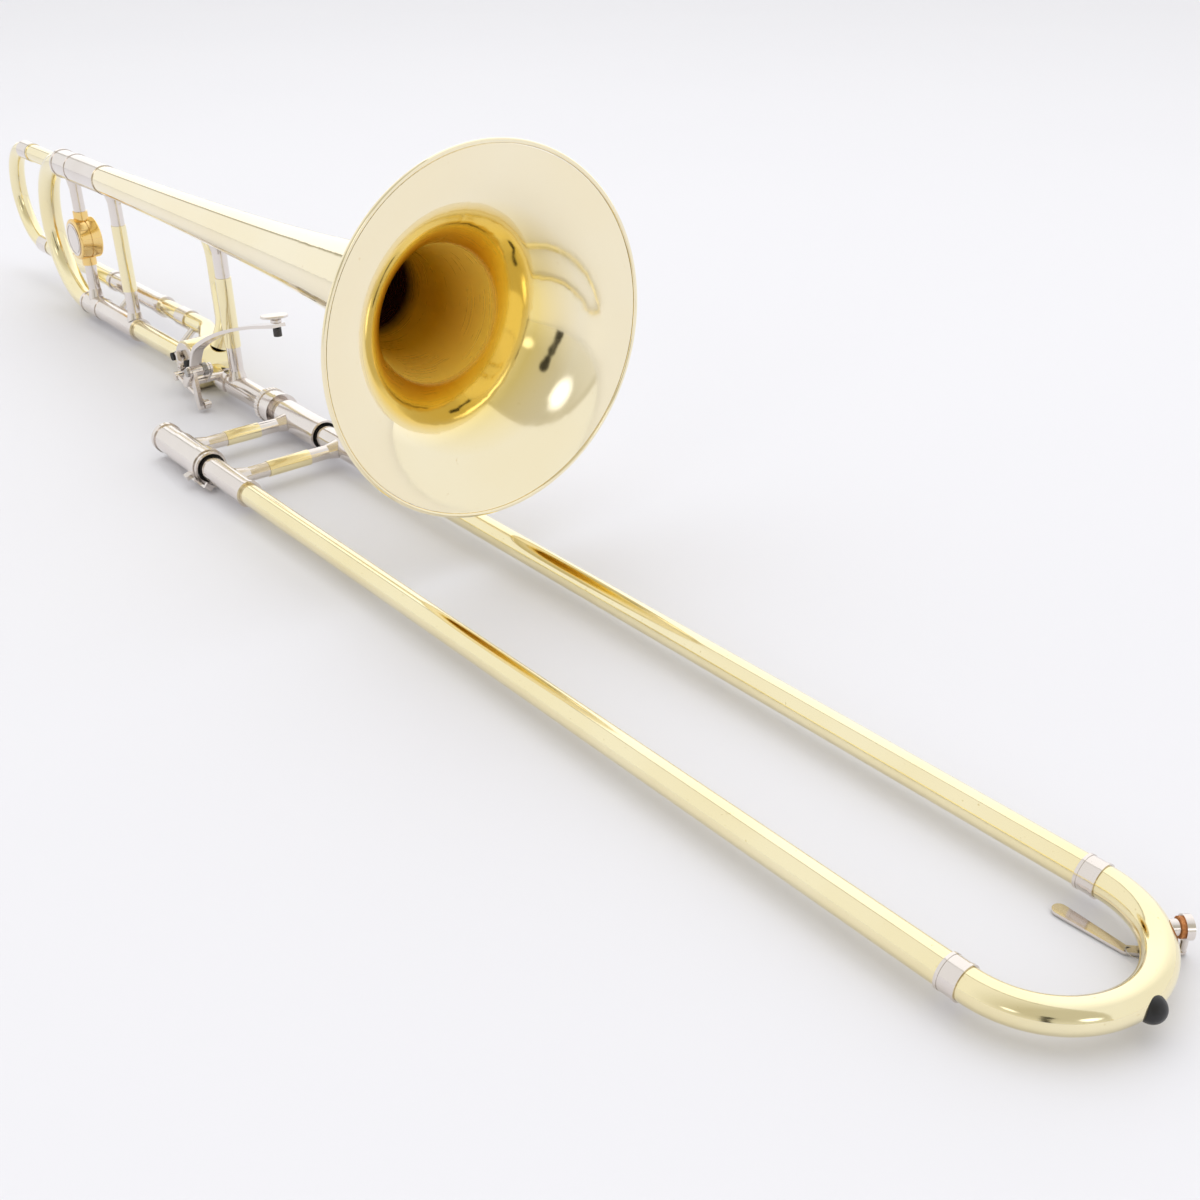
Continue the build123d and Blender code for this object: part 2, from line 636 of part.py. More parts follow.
with BuildPart() as outer_slide_tubes:
    for leg_y in (side_a, side_b):
        pipe(outer_tube_start, outer_tube_end, leg_y, 0, outer_slide_radius, outer_slide_bore)
save(outer_slide_tubes, "outer_slide_tubes")

with BuildPart() as outer_slide_oversleeves:
    for leg_y in (side_a, side_b):
        pipe(oversleeve_start, oversleeve_end, leg_y, 0, oversleeve_radius, outer_slide_radius + 0.02)
        pipe(oversleeve_end - 2.5, oversleeve_end, leg_y, 0, 9.0, outer_slide_radius + 0.02)
    with BuildSketch(facing_x(-215.5, side_a, 0)) as lock_lug:
        with Locations((0, -9.9)):
            Rectangle(5.0, 3.4)
        Circle(outer_slide_radius + 0.3, mode=Mode.SUBTRACT)
    extrude(lock_lug.sketch, amount=3.5)
save(outer_slide_oversleeves, "outer_slide_oversleeves")

with BuildPart() as slide_bow:
    u_bow(
        (slide_bow_x, side_a, 0),
        (slide_bow_x + slide_bow_radius, side_a / 2, 0),
        (slide_bow_x, side_b, 0),
        -(slide_bow_x - outer_tube_end - 0.1),
        bow_tube_radius,
        outer_slide_bore,
    )
save(slide_bow, "slide_bow")

with BuildPart() as bow_ferrules:
    for leg_y in (side_a, side_b):
        collared_pipe(ferrule_start, ferrule_end, leg_y, 0, ferrule_radius, bow_tube_radius + 0.02, 0.25, 1.4)
save(bow_ferrules, "bow_ferrules")

bumper_x = slide_bow_x + bumper_reach
bumper_y = side_a / 2 - 2.0
bumper_z = -1.0

with BuildPart() as bow_space:
    u_bow(
        (slide_bow_x, side_a, 0),
        (slide_bow_x + slide_bow_radius, side_a / 2, 0),
        (slide_bow_x, side_b, 0),
        -4.0,
        bow_tube_radius + 0.03,
    )

with BuildPart() as bow_bumper:
    rod((slide_bow_x + slide_bow_radius + 5, bumper_y, bumper_z), (bumper_x, bumper_y, bumper_z), 3.4)
    ball(bumper_x, bumper_y, bumper_z, bumper_radius)
    add(bow_space.part, mode=Mode.SUBTRACT)
save(bow_bumper, "bow_bumper")

# ---- water key on the bow ----
key_angle = math.radians(52.0)
key_out = (math.cos(key_angle), math.sin(key_angle))
key_along = (-math.sin(key_angle), math.cos(key_angle))
key_pivot_reach = slide_bow_radius + 1.0
key_pivot_z = -10.3
key_plate_z = -12.9
nozzle_end = slide_bow_radius + bow_tube_radius + 2.6
pad_thickness = 2.6
pad_radius = 4.4


def key_spot(reach, along=0.0, z=0.0):
    # A place near the water key: reach out from the bow's centre, along its tube, and up.
    x = slide_bow_x + key_out[0] * reach + key_along[0] * along
    y = side_a / 2 + key_out[1] * reach + key_along[1] * along
    return (x, y, z)


key_axle = (key_spot(key_pivot_reach, -8, key_pivot_z), key_spot(key_pivot_reach, 8, key_pivot_z))

with BuildPart() as water_key_nozzle:
    rod(key_spot(slide_bow_radius + 5), key_spot(nozzle_end), 3.4)
    add(bow_space.part, mode=Mode.SUBTRACT)
    rod(key_spot(slide_bow_radius + 4), key_spot(nozzle_end + 1), 1.6, mode=Mode.SUBTRACT)
save(water_key_nozzle, "water_key_nozzle")

with BuildPart() as water_key_saddle:
    for side in (-1, 1):
        near, far = side * 4.2, side * 6.0
        rod(key_spot(key_pivot_reach, near, key_pivot_z), key_spot(key_pivot_reach, far, key_pivot_z), 2.3)
        ear_base = Plane(
            origin=spot(*key_spot(key_pivot_reach, side * 5.1, key_pivot_z)),
            x_dir=(key_out[0], key_out[1], 0),
            z_dir=(0, 0, 1),
        )
        with BuildSketch(ear_base) as ear:
            Rectangle(4.6, 1.8)
        extrude(ear.sketch, amount=7.0)
    add(bow_space.part, mode=Mode.SUBTRACT)
    rod(*key_axle, 1.05, mode=Mode.SUBTRACT)
save(water_key_saddle, "water_key_saddle")

with BuildPart() as water_key_pin:
    rod(key_spot(key_pivot_reach, -6.3, key_pivot_z), key_spot(key_pivot_reach, 6.0, key_pivot_z), 1.0)
    rod(key_spot(key_pivot_reach, -7.6, key_pivot_z), key_spot(key_pivot_reach, -6.3, key_pivot_z), 1.9)
save(water_key_pin, "water_key_pin")

key_tip = (406.5, -14.5)
key_turn = key_spot(key_pivot_reach - 9.0, 1.5)[:2]
key_middle = key_spot(key_pivot_reach)[:2]
pad_back = nozzle_end + pad_thickness + 0.2
key_elbow = key_spot(pad_back + 1.2)[:2]


def key_strip(first, first_radius, last, last_radius):
    # A flat strip of the key's lever between two rounded ends.
    lever_plane = Plane(origin=spot(0, 0, key_plate_z), x_dir=(1, 0, 0), z_dir=(0, 0, 1))
    with BuildSketch(lever_plane) as strip:
        with Locations(first):
            Circle(first_radius)
        with Locations(last):
            Circle(last_radius)
        make_hull()
    extrude(strip.sketch, amount=1.3)


with BuildPart() as water_key_lever:
    rod(key_spot(key_pivot_reach, -3.9, key_pivot_z), key_spot(key_pivot_reach, 3.9, key_pivot_z), 2.2)
    key_strip(key_middle, 2.3, key_turn, 2.0)
    key_strip(key_turn, 2.0, key_tip, 3.4)
    key_strip(key_middle, 2.3, key_elbow, 1.7)
    rod((key_elbow[0], key_elbow[1], key_plate_z), (key_elbow[0], key_elbow[1], 0), 1.6)
    rod(key_spot(pad_back - 1.0), key_spot(pad_back + 2.2), 5.2)
    rod(key_spot(pad_back - 1.2), key_spot(pad_back), pad_radius + 0.05, mode=Mode.SUBTRACT)
    rod(*key_axle, 1.05, mode=Mode.SUBTRACT)
save(water_key_lever, "water_key_lever")

with BuildPart() as water_key_cork:
    rod(key_spot(nozzle_end + 0.2), key_spot(pad_back - 0.02), pad_radius)
save(water_key_cork, "water_key_cork")

# ---- slide lock on the mouthpiece side ----
lock_back_x = barrel_front_x - 12.0
lock_front_x = barrel_front_x + 9.5

with BuildPart() as slide_lock_ring:
    pipe(lock_back_x, barrel_front_x - 3.3, side_a, 0, 12.4, barrel_radius + running_gap)
    with BuildSketch(facing_x(lock_back_x, side_a, 0)) as lock_arm:
        with Locations(Location((0, 0), -40)):
            with Locations((0, -12.9)):
                Rectangle(6.0, 1.6)
    extrude(lock_arm.sketch, amount=lock_front_x - lock_back_x)
    with BuildSketch(facing_x(lock_front_x - 2.0, side_a, 0)) as lock_lip:
        with Locations(Location((0, 0), -40)):
            with Locations((0, -11.4)):
                Rectangle(6.0, 3.6)
    extrude(lock_lip.sketch, amount=2.0)
    with BuildSketch(facing_x(lock_back_x, side_a, 0)) as lock_tab:
        with Locations(Location((0, 0), -70)):
            with Locations((0, -14.2)):
                Rectangle(3.0, 5.0)
    extrude(lock_tab.sketch, amount=6.0)
save(slide_lock_ring, "slide_lock_ring")

# ---- thumb trigger ----
hinge_x, hinge_y, hinge_z = trigger_hinge
hinge_half = 7.2
lever_ball_x = hinge_x + lever_arm * math.sin(lever_rest_angle)
lever_ball_z = hinge_z - lever_arm * math.cos(lever_rest_angle)

bar_back = 11.0
bar_drop = 12.0
near_ear_y = hinge_y - hinge_half - 2.2
far_ear_y = hinge_y + hinge_half + 0.3


def saddle_ear(y):
    # One of the two ears that hold the trigger's pin, reaching back to the saddle's bar.
    with BuildSketch(facing_y(hinge_x, y, hinge_z)) as ear:
        Circle(4.2)
        with Locations((bar_back, -bar_drop)):
            Circle(3.0)
        make_hull()
    extrude(ear.sketch, amount=1.9)


with BuildPart() as trigger_saddle:
    saddle_ear(near_ear_y)
    saddle_ear(far_ear_y)
    rod(
        (hinge_x - bar_back, near_ear_y, hinge_z - bar_drop),
        (hinge_x - bar_back, -4.0, hinge_z - bar_drop),
        3.0,
    )
    with BuildSketch(facing_x(hinge_x - bar_back - 2.5)) as saddle_flange:
        Circle(receiver_radius + 1.2)
        with Locations((-9.0, 2.0)):
            Rectangle(11.0, 14.0, mode=Mode.INTERSECT)
    extrude(saddle_flange.sketch, amount=11.0)
    pipe(hinge_x - 25, hinge_x + 9, 0, 0, receiver_radius + 0.03, mode=Mode.SUBTRACT)
    ring(facing_y(hinge_x, near_ear_y - 1, hinge_z), 2 * hinge_half + 8, 1.85, mode=Mode.SUBTRACT)
save(trigger_saddle, "trigger_saddle")

with BuildPart() as trigger_pin:
    ring(facing_y(hinge_x, hinge_y - hinge_half - 2.2, hinge_z), 2 * hinge_half + 4.6, 1.8)
    ring(facing_y(hinge_x, hinge_y - hinge_half - 3.8, hinge_z), 1.6, 3.4)
save(trigger_pin, "trigger_pin")

paddle_mount = (-283.0, 4.0, 67.0)

strap_width = 8.6

with BuildPart() as strap_space:
    strap_plan = Plane(origin=spot(0, 0, hinge_z + 2.0), x_dir=(1, 0, 0), z_dir=(0, 0, 1))
    strap_near = hinge_y - hinge_half
    with BuildSketch(strap_plan) as strap_top_view:
        with BuildLine():
            Polyline(
                (hinge_x - 8, strap_near),
                (-350.0, strap_near),
                (-302.0, -8.0),
                (-277.0, -1.5),
                (-277.0, strap_width),
                (-306.0, 3.0),
                (-350.0, strap_near + strap_width),
                (hinge_x - 8, strap_near + strap_width),
                close=True,
            )
        make_face()
    extrude(strap_top_view.sketch, amount=60.0)
    ring(facing_y(hinge_x, strap_near, hinge_z), 2 * hinge_half, 4.0)

with BuildPart() as trigger_lever:
    ring(facing_y(hinge_x, strap_near, hinge_z), 2 * hinge_half, 4.0)
    strap_plane = Plane(origin=spot(0, strap_near, 0), x_dir=(1, 0, 0), z_dir=(0, -1, 0))
    with BuildSketch(strap_plane) as strap_side:
        with BuildLine():
            strap_top = Spline(
                (hinge_x - 1.5, hinge_z + 3.0), (-352.0, 40.0), (-332.0, 54.0), (-306.0, 62.5), (-278.0, 68.4)
            )
            strap_low = Spline(
                (hinge_x + 1.5, hinge_z + 3.0), (-350.0, 38.0), (-331.0, 51.6), (-306.0, 60.1), (-277.4, 66.0)
            )
            Line(strap_top @ 0, strap_low @ 0)
            Line(strap_top @ 1, strap_low @ 1)
        make_face()
    extrude(strap_side.sketch, amount=-50.0)
    add(strap_space.part, mode=Mode.INTERSECT)
    with BuildSketch(facing_y(hinge_x, strap_near, hinge_z)) as crank_outline:
        Circle(4.0)
        with Locations((hinge_x - lever_ball_x, lever_ball_z - hinge_z)):
            Circle(3.2)
        make_hull()
    extrude(crank_outline.sketch, amount=3.0)
    ring(facing_y(lever_ball_x, strap_near + 3.0, lever_ball_z), 7.2, 1.8)
    ring(facing_y(hinge_x, strap_near - 1, hinge_z), 2 * hinge_half + 2, 1.85, mode=Mode.SUBTRACT)
save(trigger_lever, "trigger_lever")

with BuildPart() as thumb_paddle:
    mount_x, mount_y, mount_z = paddle_mount
    ring(facing_z(mount_x, mount_y, mount_z + 2.4), 3.0, 2.4)
    ring(facing_z(mount_x, mount_y, mount_z + 1.2), 2.2, 4.0)
    with BuildSketch(facing_z(mount_x - 2, mount_y, mount_z + 4.6)) as paddle_outline:
        SlotOverall(20.0, 10.5, rotation=70)
    extrude(paddle_outline.sketch, amount=1.6)
    fillet(thumb_paddle.edges().group_by(Axis.Z)[-1], 0.6)
save(thumb_paddle, "thumb_paddle")

with BuildPart() as paddle_screw:
    ring(facing_z(mount_x, mount_y, mount_z - 9.0), 6.1, 3.1)
    with BuildSketch(facing_z(mount_x, mount_y, mount_z - 9.0)) as screw_knurl:
        with PolarLocations(3.2, 14):
            Circle(0.35)
    extrude(screw_knurl.sketch, amount=5.0, mode=Mode.SUBTRACT)
save(paddle_screw, "paddle_screw")

with BuildPart() as trigger_spring:
    for turn in range(4):
        turn_y = hinge_y + hinge_half - 5.6 + turn * 1.25
        ring(facing_y(hinge_x, turn_y, hinge_z), 0.9, 5.1, 4.05)
save(trigger_spring, "trigger_spring")

link_y = hinge_y - hinge_half + 4.0

with BuildPart() as link_rod:
    ring(facing_y(lever_ball_x, link_y, lever_ball_z), 4.6, 3.6)
    rod((lever_ball_x - 2.5, link_y + 2.3, lever_ball_z), (arm_tip_x + 2.5, link_y + 2.3, arm_tip_z), 1.5)
    ring(facing_y(arm_tip_x, link_y, arm_tip_z), stud_end - 0.3 - link_y, 3.6)
    ring(facing_y(lever_ball_x, link_y - 1, lever_ball_z), 8, 1.86, mode=Mode.SUBTRACT)
save(link_rod, "link_rod")
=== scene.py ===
import json
import math

import bmesh
import bpy
from mathutils import Euler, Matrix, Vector


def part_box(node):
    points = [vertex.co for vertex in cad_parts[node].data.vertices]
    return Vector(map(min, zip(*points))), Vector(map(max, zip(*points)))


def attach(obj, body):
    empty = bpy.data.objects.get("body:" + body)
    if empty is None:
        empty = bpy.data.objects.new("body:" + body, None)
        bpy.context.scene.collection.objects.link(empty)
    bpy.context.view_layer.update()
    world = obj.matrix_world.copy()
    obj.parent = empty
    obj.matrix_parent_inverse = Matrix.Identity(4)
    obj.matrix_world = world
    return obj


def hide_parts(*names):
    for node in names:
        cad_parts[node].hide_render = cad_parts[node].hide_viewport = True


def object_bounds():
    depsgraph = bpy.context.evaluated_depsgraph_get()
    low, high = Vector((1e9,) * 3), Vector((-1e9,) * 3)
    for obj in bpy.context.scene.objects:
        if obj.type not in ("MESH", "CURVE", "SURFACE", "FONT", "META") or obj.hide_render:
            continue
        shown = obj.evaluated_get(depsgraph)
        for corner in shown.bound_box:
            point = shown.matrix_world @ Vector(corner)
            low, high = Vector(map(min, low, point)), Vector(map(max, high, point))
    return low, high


# A trombone on a pale studio floor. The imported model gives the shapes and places;
# this script gives the metals, rubber and cork, the springs' wire, the light and the camera.
# Lengths are in metres.

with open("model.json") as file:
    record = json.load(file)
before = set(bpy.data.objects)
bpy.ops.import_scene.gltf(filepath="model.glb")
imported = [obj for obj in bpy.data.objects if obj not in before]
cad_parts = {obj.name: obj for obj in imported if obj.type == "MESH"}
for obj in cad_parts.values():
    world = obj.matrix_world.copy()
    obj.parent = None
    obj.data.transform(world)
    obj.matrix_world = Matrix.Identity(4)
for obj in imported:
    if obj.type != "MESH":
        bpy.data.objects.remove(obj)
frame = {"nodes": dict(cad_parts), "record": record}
cad_low, cad_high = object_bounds()
record = frame["record"]
nodes = frame["nodes"]
bell_low, bell_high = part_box("bell_rim_bead")
bell_axis_z = (bell_low.z + bell_high.z) / 2
bead_overhang = 0.00095
rim_x = bell_high.x - bead_overhang


# ---- node helpers ----
class Shader:
    """One material's node tree, with short calls for the few nodes used here."""

    def __init__(self, name):
        self.material = bpy.data.materials.new(name)
        self.material.use_nodes = True
        self.tree = self.material.node_tree
        self.surface = self.tree.nodes["Principled BSDF"]
        coordinates = self.tree.nodes.new("ShaderNodeTexCoord")
        self.place = coordinates.outputs["Object"]
        self.normal = coordinates.outputs["Normal"]

    def link(self, source, target):
        self.tree.links.new(source, target)

    def set(self, **values):
        for label, value in values.items():
            self.surface.inputs[label.replace("_", " ")].default_value = value

    def axis(self, letter):
        """The place along one axis."""
        split = self.tree.nodes.new("ShaderNodeSeparateXYZ")
        self.link(self.place, split.inputs["Vector"])
        return split.outputs[letter]

    def stretched(self, scale):
        """The place, scaled by a different amount along each axis."""
        mapping = self.tree.nodes.new("ShaderNodeMapping")
        mapping.inputs["Scale"].default_value = scale
        self.link(self.place, mapping.inputs["Vector"])
        return mapping.outputs["Vector"]

    def noise(self, scale, detail=3.0, place=None, distortion=0.0):
        texture = self.tree.nodes.new("ShaderNodeTexNoise")
        texture.inputs["Scale"].default_value = scale
        texture.inputs["Detail"].default_value = detail
        texture.inputs["Distortion"].default_value = distortion
        self.link(place or self.place, texture.inputs["Vector"])
        return texture.outputs["Fac"]

    def cells(self, scale, place=None):
        texture = self.tree.nodes.new("ShaderNodeTexVoronoi")
        texture.feature = "DISTANCE_TO_EDGE"
        texture.inputs["Scale"].default_value = scale
        self.link(place or self.place, texture.inputs["Vector"])
        return texture.outputs["Distance"]

    def levels(self, value, low, high, to_low=0.0, to_high=1.0):
        ranged = self.tree.nodes.new("ShaderNodeMapRange")
        ranged.inputs["From Min"].default_value = low
        ranged.inputs["From Max"].default_value = high
        ranged.inputs["To Min"].default_value = to_low
        ranged.inputs["To Max"].default_value = to_high
        self.link(value, ranged.inputs["Value"])
        return ranged.outputs["Result"]

    def math(self, operation, first, second):
        node = self.tree.nodes.new("ShaderNodeMath")
        node.operation = operation
        for socket, value in zip(node.inputs, (first, second)):
            if isinstance(value, float):
                socket.default_value = value
            else:
                self.link(value, socket)
        return node.outputs["Value"]

    def mix(self, amount, first, second):
        node = self.tree.nodes.new("ShaderNodeMix")
        node.data_type = "RGBA"
        self.link(amount, node.inputs["Factor"])
        for socket, value in ((node.inputs["A"], first), (node.inputs["B"], second)):
            if isinstance(value, tuple):
                socket.default_value = (*value, 1.0)
            else:
                self.link(value, socket)
        return node.outputs["Result"]

    def inside_bell(self):
        """1 on the bell's inner wall, 0 outside: an inner wall faces the bell's axis."""
        soft_edge = 0.0005
        facing = self.tree.nodes.new("ShaderNodeSeparateXYZ")
        self.link(self.normal, facing.inputs["Vector"])
        height = self.math("SUBTRACT", self.axis("Z"), bell_axis_z)
        across = self.math("MULTIPLY", self.axis("Y"), facing.outputs["Y"])
        upward = self.math("MULTIPLY", height, facing.outputs["Z"])
        return self.levels(self.math("ADD", across, upward), -soft_edge, soft_edge, 1.0, 0.0)

    def crevice(self, distance):
        """How enclosed the surface is, from 0 in a crevice to 1 in the open."""
        occlusion = self.tree.nodes.new("ShaderNodeAmbientOcclusion")
        occlusion.inputs["Distance"].default_value = distance
        occlusion.samples = 6
        return occlusion.outputs["AO"]

    def colour(self, value):
        self.link(value, self.surface.inputs["Base Color"])

    def roughness(self, value):
        self.link(value, self.surface.inputs["Roughness"])

    def bump(self, height, distance, strength=1.0):
        node = self.tree.nodes.new("ShaderNodeBump")
        node.inputs["Distance"].default_value = distance
        node.inputs["Strength"].default_value = strength
        self.link(height, node.inputs["Height"])
        self.link(node.outputs["Normal"], self.surface.inputs["Normal"])


# ---- materials ----
def plated_metal(name, colour, deep_colour, marks_and_shade_colour, smooth, coat):
    """Polished metal with polishing lines, faint clouding, handling marks, and painted shade that darkens
    its crevices.
    """
    shader = Shader(name)
    shader.set(Metallic=1.0, Coat_Weight=coat, Coat_Roughness=0.04, Coat_IOR=1.5)
    clouds = shader.levels(shader.noise(14.0, 4.0), 0.35, 0.7)
    body = shader.mix(clouds, colour, deep_colour)
    spots = shader.levels(shader.noise(420.0, 2.0), 0.70, 0.80, 0.0, 0.5)
    spotted = shader.mix(spots, body, marks_and_shade_colour)
    # painted shade: where ambient occlusion finds a crevice, the colour is darkened toward the dullest
    # colour
    enclosed = shader.levels(shader.crevice(0.003), 0.15, 0.75, 0.75, 0.0)
    shader.colour(shader.mix(enclosed, spotted, marks_and_shade_colour))
    lines = shader.noise(900.0, 2.0, shader.stretched((0.04, 1.0, 1.0)))
    smudges = shader.levels(shader.noise(55.0, 5.0, distortion=0.6), 0.42, 0.75, 0.0, 0.07)
    polish = shader.levels(lines, 0.3, 0.7, smooth, smooth + 0.035)
    shader.roughness(shader.math("ADD", polish, smudges))
    ripple = shader.math("MULTIPLY", shader.noise(130.0, 2.0), 0.6)
    shader.bump(shader.math("ADD", ripple, lines), 0.00002, 0.25)
    return shader.material


def lacquered_brass():
    colours = ((0.94, 0.85, 0.56), (0.91, 0.80, 0.48), (0.58, 0.41, 0.10))
    return plated_metal("lacquered_brass", *colours, smooth=0.07, coat=0.4)


def nickel_silver():
    colours = ((0.81, 0.76, 0.72), (0.76, 0.70, 0.65), (0.42, 0.37, 0.32))
    return plated_metal("nickel_silver", *colours, smooth=0.12, coat=0.2)


def gold_plate():
    colours = ((0.94, 0.68, 0.28), (0.90, 0.61, 0.21), (0.46, 0.24, 0.05))
    return plated_metal("gold_plate", *colours, smooth=0.08, coat=0.4)


def chromed_tube():
    colours = ((0.78, 0.78, 0.78), (0.72, 0.72, 0.73), (0.38, 0.37, 0.36))
    return plated_metal("chromed_tube", *colours, smooth=0.05, coat=0.0)


def steel():
    colours = ((0.50, 0.48, 0.45), (0.42, 0.40, 0.38), (0.16, 0.14, 0.12))
    return plated_metal("steel", *colours, smooth=0.22, coat=0.0)


def dark_steel():
    colours = ((0.10, 0.095, 0.09), (0.07, 0.067, 0.065), (0.02, 0.02, 0.02))
    return plated_metal("dark_steel", *colours, smooth=0.25, coat=0.0)


def spun_brass():
    """The bell's brass, faintly ringed from spinning: a painted gold reflection just inside the rim, a
    rougher, less metallic throat that painted shade darkens further in, and painted near-black shade deep
    inside.
    """
    shader = Shader("spun_brass")
    shader.set(Coat_Weight=0.3, Coat_Roughness=0.03, Coat_IOR=1.5)
    inside = shader.inside_bell()
    along = shader.axis("X")

    def behind_rim(start, end):
        """0 up to one distance behind the rim, rising to 1 at another."""
        return shader.levels(along, rim_x - start, rim_x - end)

    # where the inside has a painted gold reflection, the rougher throat, and painted shade
    painted_reflection_band = shader.math("MULTIPLY", inside, behind_rim(0.013, 0.031))
    throat = shader.math("MULTIPLY", inside, behind_rim(0.054, 0.059))
    painted_depth_shade = shader.math("MULTIPLY", inside, behind_rim(0.120, 0.134))
    clouds = shader.levels(shader.noise(9.0, 4.0), 0.35, 0.7)
    flare = shader.mix(clouds, (0.965, 0.88, 0.655), (0.955, 0.85, 0.59))
    spots = shader.levels(shader.noise(300.0, 2.0), 0.72, 0.82, 0.0, 0.3)
    # painted reflection: a gold band just inside the rim
    with_painted_reflection = shader.mix(painted_reflection_band, flare, (0.95, 0.76, 0.29))
    polished = shader.mix(spots, with_painted_reflection, (0.70, 0.48, 0.18))
    drawn = shader.levels(shader.noise(26.0, 3.0, shader.stretched((0.25, 1.0, 1.0))), 0.35, 0.65)
    # painted shade: the throat's brass is brightest at its entry and darker further in, with drawn
    # streaks
    entry = behind_rim(0.062, 0.100)
    drawn_streaks_and_shade = shader.mix(drawn, (0.96, 0.59, 0.03), (0.80, 0.43, 0.015))
    raw_brass_and_painted_falloff = shader.mix(entry, (1.0, 0.76, 0.14), drawn_streaks_and_shade)
    lined = shader.mix(throat, polished, raw_brass_and_painted_falloff)
    # painted shade: deep inside the bell the colour turns near black
    shader.colour(shader.mix(painted_depth_shade, lined, (0.05, 0.015, 0.008)))
    # gloss and relief
    rings = shader.noise(700.0, 3.0, shader.stretched((1.0, 0.01, 0.01)))
    smudges = shader.levels(shader.noise(30.0, 5.0, distortion=0.8), 0.45, 0.8, 0.0, 0.06)
    polish = shader.math("ADD", shader.levels(rings, 0.3, 0.7, 0.05, 0.10), smudges)
    shader.roughness(shader.math("ADD", polish, shader.math("MULTIPLY", throat, 0.20)))
    shader.link(shader.levels(throat, 0.0, 1.0, 1.0, 0.35), shader.surface.inputs["Metallic"])
    ripple = shader.math("MULTIPLY", shader.noise(60.0, 2.0), 0.8)
    shader.bump(shader.math("ADD", shader.math("MULTIPLY", rings, 0.3), ripple), 0.00002, 0.2)
    return shader.material


def moulded_rubber(name, colour, worn_colour, roughness):
    """Matt moulded rubber with a fine grain and a little dust."""
    shader = Shader(name)
    shader.set(Metallic=0.0, Sheen_Weight=0.05, Sheen_Roughness=0.5)
    dust = shader.levels(shader.noise(260.0, 5.0), 0.5, 0.75)
    shader.colour(shader.mix(dust, colour, worn_colour))
    grain = shader.noise(2600.0, 3.0)
    shader.roughness(shader.levels(grain, 0.3, 0.7, roughness - 0.08, roughness + 0.08))
    shader.bump(grain, 0.00008, 0.6)
    return shader.material


def pressed_cork(name, colour, deep_colour):
    """Cork or cork composite: rounded grains with darker edges."""
    shader = Shader(name)
    shader.set(Metallic=0.0)
    grains = shader.levels(shader.cells(1400.0), 0.0, 0.12)
    mottle = shader.levels(shader.noise(900.0, 4.0), 0.35, 0.7)
    shader.colour(shader.mix(grains, deep_colour, shader.mix(mottle, colour, deep_colour)))
    shader.roughness(shader.levels(mottle, 0.0, 1.0, 0.65, 0.9))
    shader.bump(grains, 0.0001, 0.5)
    return shader.material


black = (0.006, 0.006, 0.007)
worn_black = (0.022, 0.022, 0.022)
materials = {
    "lacquered_brass": lacquered_brass(),
    "nickel_silver": nickel_silver(),
    "gold_plate": gold_plate(),
    "chromed_tube": chromed_tube(),
    "steel": steel(),
    "dark_steel": dark_steel(),
    "black_rubber": moulded_rubber("black_rubber", black, worn_black, 0.40),
    "black_cork": pressed_cork("black_cork", (0.03, 0.028, 0.026), (0.01, 0.01, 0.01)),
    "orange_pad": pressed_cork("orange_pad", (0.70, 0.29, 0.09), (0.42, 0.15, 0.05)),
}
bell_material = spun_brass()
bell_nodes = ("bell_flare", "bell_stem", "bell_rim_bead")

for entry in record["subparts"]:
    node = nodes[entry["node"]]
    chosen = bell_material if entry["node"] in bell_nodes else materials[entry["material_slot"]]
    node.data.materials.clear()
    node.data.materials.append(chosen)


# ---- springs, as real wire ----
def wire_mesh(name, points, radius, sides=10):
    """A round wire swept along points, closed at both ends."""
    mesh = bmesh.new()
    rings = []
    normal = None
    for index, point in enumerate(points):
        ahead = points[min(index + 1, len(points) - 1)]
        behind = points[max(index - 1, 0)]
        tangent = (ahead - behind).normalized()
        if normal is None:
            normal = tangent.orthogonal().normalized()
        normal = (normal - tangent * normal.dot(tangent)).normalized()
        side = tangent.cross(normal)
        ring = []
        for step in range(sides):
            angle = 2 * math.pi * step / sides
            outward = math.cos(angle) * normal + math.sin(angle) * side
            ring.append(mesh.verts.new(point + radius * outward))
        rings.append(ring)
    for first, second in zip(rings, rings[1:]):
        for step in range(sides):
            after = (step + 1) % sides
            mesh.faces.new((first[step], first[after], second[after], second[step]))
    mesh.faces.new(list(reversed(rings[0])))
    mesh.faces.new(rings[-1])
    bmesh.ops.recalc_face_normals(mesh, faces=mesh.faces)
    data = bpy.data.meshes.new(name)
    mesh.to_mesh(data)
    mesh.free()
    for polygon in data.polygons:
        polygon.use_smooth = True
    piece = bpy.data.objects.new(name, data)
    bpy.context.collection.objects.link(piece)
    data.materials.append(materials["steel"])
    return piece


def trigger_spring_wire():
    """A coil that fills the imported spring's box."""
    low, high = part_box("trigger_spring")
    middle = (low + high) / 2
    wire = 0.00045
    radius = (high.x - low.x) / 2 - wire
    turns = 4.0
    steps = 96
    points = []
    for step in range(steps + 1):
        share = step / steps
        angle = 2 * math.pi * turns * share
        x = middle.x + radius * math.cos(angle)
        y = low.y + wire + (high.y - low.y - 2 * wire) * share
        z = middle.z + radius * math.sin(angle)
        points.append(Vector((x, y, z)))
    piece = wire_mesh("trigger_spring_coil", points, wire)
    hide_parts("trigger_spring")
    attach(piece, "instrument")


